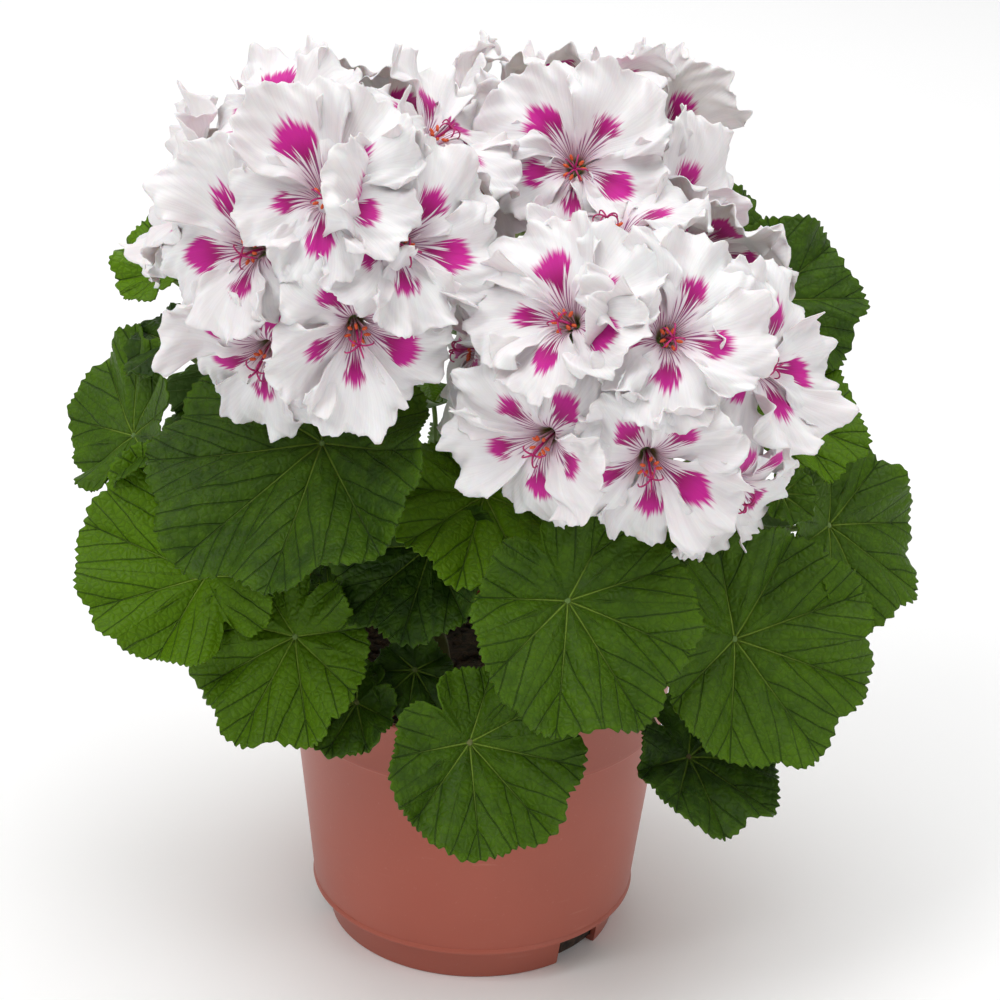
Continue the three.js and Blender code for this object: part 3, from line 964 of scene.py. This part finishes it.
def build_florets():
    petal = petal_material()
    magenta = plain_paint("pistil_magenta", rgb(150, 8, 84), rgb(196, 24, 118), 0.4, 900.0)
    filament = plain_paint("filament_pink", rgb(226, 190, 198), rgb(214, 150, 176), 0.5, 900.0)
    anther = plain_paint("anther_orange", rgb(206, 66, 28), rgb(232, 110, 52), 0.6, 2400.0)
    green = plain_paint(
        "sepal_green", rgb(84, 112, 44), rgb(126, 150, 72), 0.6, 500.0, (0.1, 0.5 * MM)
    )
    pale = plain_paint("bud_green", rgb(104, 128, 56), rgb(150, 166, 96), 0.6, 300.0)
    florets = []
    for umbel in UMBELS:
        names = [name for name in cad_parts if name.startswith(f"floret_{umbel}_")]
        names.sort(key=lambda name: int(name.rsplit("_", 1)[1]))
        own = [Floret(name, len(florets) + i) for i, name in enumerate(names)]
        build_buds(umbel, own, {"petal": petal, "green": green, "pale": pale})
        florets += own
    for floret in florets:
        build_petals(floret, florets, petal)
        build_pistil(floret, magenta)
        build_stamens(floret, filament, anther)
        build_calyx(floret, green)


# ---- stems ----


def stem_material(name, low, high, woody):
    paint = Paint(name)
    place = paint.place()
    x, y, z = paint.axes(place)
    patches = paint.noise(place, 70.0, 3.0)
    green = paint.mix(paint.step(patches, 0.3, 0.7), low, high)
    soil_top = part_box("soil")[1].z
    age = paint.step(z, soil_top + 45 * MM, soil_top)
    color = paint.mix(paint.times(age, woody), green, rgb(104, 82, 54))
    ridges = paint.noise(paint.vector(x, y, paint.times(z, 0.15)), 1500.0)
    fuzz = paint.noise(place, 3200.0)
    normal = paint.bump(ridges, 0.25 * MM, 0.5)
    normal = paint.bump(fuzz, 0.15 * MM, 0.6, normal)
    return paint.finish(color, 0.6, normal, 0.3, 0.2, (0.08, 0.8 * MM))


def round_off(piece, cell, passes):
    """Modifiers that turn a faceted solid into a smooth grown one."""
    remesh = piece.modifiers.new("skin", "REMESH")
    remesh.mode = "VOXEL"
    remesh.voxel_size = cell
    remesh.use_smooth_shade = True
    smooth = piece.modifiers.new("smooth", "SMOOTH")
    smooth.factor = 0.5
    smooth.iterations = passes


def dress_stems():
    stem = stem_material("stem_skin", rgb(88, 116, 52), rgb(120, 146, 74), 0.85)
    stalk = stem_material("stalk_skin", rgb(112, 142, 66), rgb(146, 168, 94), 0.0)
    for names, material in ((STEM_NODES, stem), (STALK_NODES, stalk)):
        for name in names:
            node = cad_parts[name]
            node.data.materials.clear()
            node.data.materials.append(material)
            round_off(node, STEM_CELL, STEM_SMOOTHING)


# ---- pot and soil ----


def outline_of(name, low_radius):
    """The (radius, height) pairs of a CAD solid of revolution outside a radius, once each."""
    points = node_points(name)
    pairs = np.column_stack([np.hypot(points[:, 0], points[:, 1]), points[:, 2]])
    pairs = pairs[pairs[:, 0] >= low_radius]
    return np.unique(np.round(pairs / (0.05 * MM)), axis=0) * 0.05 * MM


def pot_profile():
    """The pot's section in millimetres: from its underside over the rim to the middle of its floor."""
    lo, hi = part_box("pot")
    rim = (hi.x - lo.x) / 2 / MM
    top = hi.z / MM
    band = top - POT_BAND
    foot = FOOT_HEIGHT
    base = FOOT_RADIUS

    def wall(height):
        return POT_BASE_RADIUS + (rim - 1.4 - POT_BASE_RADIUS) * height / top

    underside = [(0, 0), (base - 1.2, 0), (base - 0.3, 0.3), (base, 1.2)]
    foot_bead = [
        (base + 1.4, foot - 0.6), (base + 1.9, foot + 0.1),
        (wall(foot), foot + 0.4), (wall(foot) + 0.6, foot + 0.8),
        (wall(foot) + 0.75, foot + 1.3), (wall(foot) + 0.5, foot + 1.9),
        (wall(foot) + 0.15, foot + 2.5), (wall(foot + 4) + 0.05, foot + 4),
    ]
    band_bead = [
        (wall(band * 0.5), band * 0.5), (wall(band) - 0.1, band - 1.6),
        (wall(band) + 0.3, band - 0.8), (wall(band) + 1.05, band - 0.3),
        (wall(band) + 1.25, band + 0.3), (wall(band) + 1.2, band + 1.2),
    ]
    lip = [
        (rim - 0.9, top - 2.6), (rim - 0.6, top - 2), (rim - 0.1, top - 1.4), (rim, top - 0.8),
        (rim - 0.3, top - 0.2), (rim - 0.9, top), (rim - 1.6, top - 0.1), (rim - 2.1, top - 0.6),
        (rim - 2.4, top - 1.6),
    ]
    inside = [
        (wall(band) - 0.3, band + 1.4), (wall(band) - POT_WALL, band - 1),
        (wall(foot) - POT_WALL, foot + 3.2), (base - 0.4, foot + 1.4),
        (base - 1.8, 1.8), (0, 1.8),
    ]
    return underside + foot_bead + band_bead + lip + inside


def revolve(profile, steps):
    """Points and faces of a closed solid of revolution whose profile starts and ends on the axis."""
    profile = np.asarray(profile, float)
    turns = np.linspace(0, 2 * math.pi, steps, endpoint=False)
    ring = np.stack([np.sin(turns), -np.cos(turns)], axis=1)
    body = profile[1:-1]
    rings = [np.column_stack([ring * radius, np.full(steps, height)]) for radius, height in body]
    ends = [[[0, 0, profile[0][1]]], [[0, 0, profile[-1][1]]]]
    return np.concatenate(rings + ends), capped_faces(len(body), steps)


def pot_material():
    paint = Paint("pot_plastic")
    place = paint.place()
    x, y, z = paint.axes(place)
    angle = paint.math("ARCTAN2", x, y)
    clouds = paint.noise(place, 9.0, 3.0)
    specks = paint.noise(place, 900.0, 2.0)
    flow = paint.noise(paint.vector(paint.times(angle, 9.0), paint.times(z, 12.0)), 1.0, 2.0)
    scuffs = paint.noise(paint.vector(paint.times(angle, 3.0), paint.times(z, 420.0)), 1.0, 4.0)
    patches = paint.step(paint.noise(place, 30.0), 0.45, 0.7)
    wear = paint.times(paint.step(scuffs, 0.62, 0.72), patches)
    # Darker towards the bottom: the lowest 14 mm is mixed in clouds towards a dark brown.
    darker_low = paint.times(paint.step(z, 14 * MM, 0.0), clouds)
    color = paint.mix(paint.step(clouds, 0.35, 0.7), rgb(164, 80, 62), rgb(174, 90, 72))
    color = paint.mix(paint.times(paint.step(specks, 0.66, 0.78), 0.16), color, rgb(205, 150, 134))
    color = paint.mix(paint.times(flow, 0.16), color, rgb(150, 80, 66))
    color = paint.mix(paint.times(wear, 0.16), color, rgb(214, 168, 152))
    color = paint.mix(paint.times(darker_low, 0.35), color, rgb(120, 74, 60))
    rough = paint.line(wear, 0.2, paint.line(clouds, 0.12, 0.34))
    normal = paint.bump(paint.noise(place, 1400.0), 0.04 * MM, 0.5)
    return paint.finish(color, rough, normal, 0.45, scatter=(0.05, 0.8 * MM))


def notch_cutter(turn):
    """A block with two rounded top corners, across the foot's wall at a turn from the front."""
    half = NOTCH_WIDTH / 2
    outline = [(-half, -NOTCH_HEIGHT)]
    for angle in np.linspace(0, math.pi / 2, 6):
        x = -half + NOTCH_CORNER * (1 - math.cos(angle))
        outline.append((x, NOTCH_HEIGHT - NOTCH_CORNER * (1 - math.sin(angle))))
    outline += [(-x, z) for x, z in reversed(outline)]
    near = -FOOT_RADIUS * MM - NOTCH_DEPTH / 2
    far = near + NOTCH_DEPTH
    points = [(x, near, z) for x, z in outline] + [(x, far, z) for x, z in outline]
    count = len(outline)
    faces = [list(range(count))[::-1], list(range(count, 2 * count))]
    for i in range(count):
        after = (i + 1) % count
        faces.append([i, after, count + after, count + i])
    mesh = bpy.data.meshes.new("notch")
    mesh.from_pydata(points, [], faces)
    cutter = put("notch", mesh)
    cutter.rotation_euler = (0, 0, math.radians(turn))
    return cutter


def cut_notches(pot):
    bpy.context.view_layer.objects.active = pot
    for turn in NOTCH_TURNS:
        cutter = notch_cutter(turn)
        cut = pot.modifiers.new("notch", "BOOLEAN")
        cut.operation = "DIFFERENCE"
        cut.solver = "EXACT"
        cut.object = cutter
        bpy.ops.object.modifier_apply(modifier=cut.name)
        bpy.data.objects.remove(cutter)


def build_pot():
    points, faces = revolve(np.array(pot_profile()) * MM, POT_STEPS)
    pot = add_mesh("pot_shell", points, faces, (pot_material(),), ["pot"])
    cut_notches(pot)
    pot.data.set_sharp_from_angle(angle=math.radians(40))


def soil_material():
    paint = Paint("peat")
    place = paint.place()
    grains = paint.noise(place, 420.0, 6.0)
    fibres = paint.noise(place, 1500.0, 3.0)
    color = paint.mix(paint.step(grains, 0.35, 0.65), rgb(34, 24, 18), rgb(74, 54, 40))
    color = paint.mix(paint.times(paint.step(fibres, 0.62, 0.7), 0.6), color, rgb(122, 96, 68))
    normal = paint.bump(grains, 1.2 * MM, 0.8)
    normal = paint.bump(fibres, 0.3 * MM, 0.8, normal)
    return paint.finish(color, 0.92, normal)


def lump_heights(points):
    """Sums of random waves, from broad to fine."""
    rng = rng_for("soil")
    lumps = np.zeros(len(points))
    for size, height in SOIL_LUMPS:
        for _ in range(5):
            wave = rng.normal(size=2) / (size * MM)
            place = points[:, 0] * wave[0] + points[:, 1] * wave[1] + phase(rng)
            lumps += height * MM / 3 * np.sin(place)
    return lumps


def build_soil(material):
    """The CAD soil's side and underside with a crumbly top."""
    pairs = outline_of("soil", SOIL_SIDE)
    side = pairs[np.argsort(pairs[:, 1], kind="stable")]
    edge_radius, edge_height = side[side[:, 1].argmax()]
    sides = [(0, side[0][1])] + [tuple(pair) for pair in side]
    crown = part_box("soil")[1].z
    steps = np.linspace(edge_radius, 0, 34)[1:]
    heights = crown - (crown - edge_height) * (steps / edge_radius) ** 1.5
    mound = list(zip(steps, heights))
    points, faces = revolve(sides + mound, POT_STEPS)
    top = points[:, 2] > edge_height - 0.5 * MM
    radius = np.hypot(points[:, 0], points[:, 1])
    fade = np.clip((edge_radius - radius) / (3 * MM), 0, 1)
    points[:, 2] += np.where(top, (lump_heights(points) - 0.6 * MM) * fade, 0)
    add_mesh("soil_body", points, faces, (material,), ["soil"])


def crumb(middle, size, rng):
    """A small angular lump."""
    rows, columns = 5, 7
    flatness = 0.7
    turns = np.linspace(0, 2 * math.pi, columns, endpoint=False)
    parts = []
    for height in np.linspace(-1, 1, rows + 2)[1:-1]:
        radius = math.sqrt(1 - height**2) * rng.uniform(0.7, 1.25, columns)
        level = np.full(columns, height * flatness)
        parts.append(np.column_stack([np.cos(turns) * radius, np.sin(turns) * radius, level]))
    ends = [[[0, 0, -flatness]], [[0, 0, flatness]]]
    return np.concatenate(parts + ends) * size + middle, capped_faces(rows, columns)


def build_crumbs(material):
    rng = rng_for("crumbs")
    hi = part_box("soil")[1]
    edge = hi.x - 4 * MM
    parts = []
    for _ in range(CRUMBS):
        radius = edge * math.sqrt(rng.random())
        turn = rng.uniform(0, 2 * math.pi)
        size = rng.uniform(0.7, 2.4) * MM
        height = hi.z - 3.2 * MM * (radius / edge) ** 1.5 - 0.4 * MM
        middle = np.array([radius * math.cos(turn), radius * math.sin(turn), height])
        parts.append(crumb(middle, size, rng))
    add_parts("soil_crumbs", parts, material)


# ---- floor ----


def build_floor():
    half = FLOOR_HALF
    corners = [(-half, -half, 0), (half, -half, 0), (half, half, 0), (-half, half, 0)]
    mesh = bpy.data.meshes.new("floor")
    mesh.from_pydata(corners, [], [(0, 1, 2, 3)])
    floor = put("floor", mesh)
    paint = Paint("floor")
    shade = paint.mix(paint.noise(paint.place(), 3.0), rgb(254, 254, 254), rgb(252, 252, 252))
    mesh.materials.append(paint.finish(shade, 0.9))


make_camera()
make_studio()
build_floor()
dress_stems()
build_pot()
peat = soil_material()
build_soil(peat)
build_crumbs(peat)
build_leaves()
build_florets()
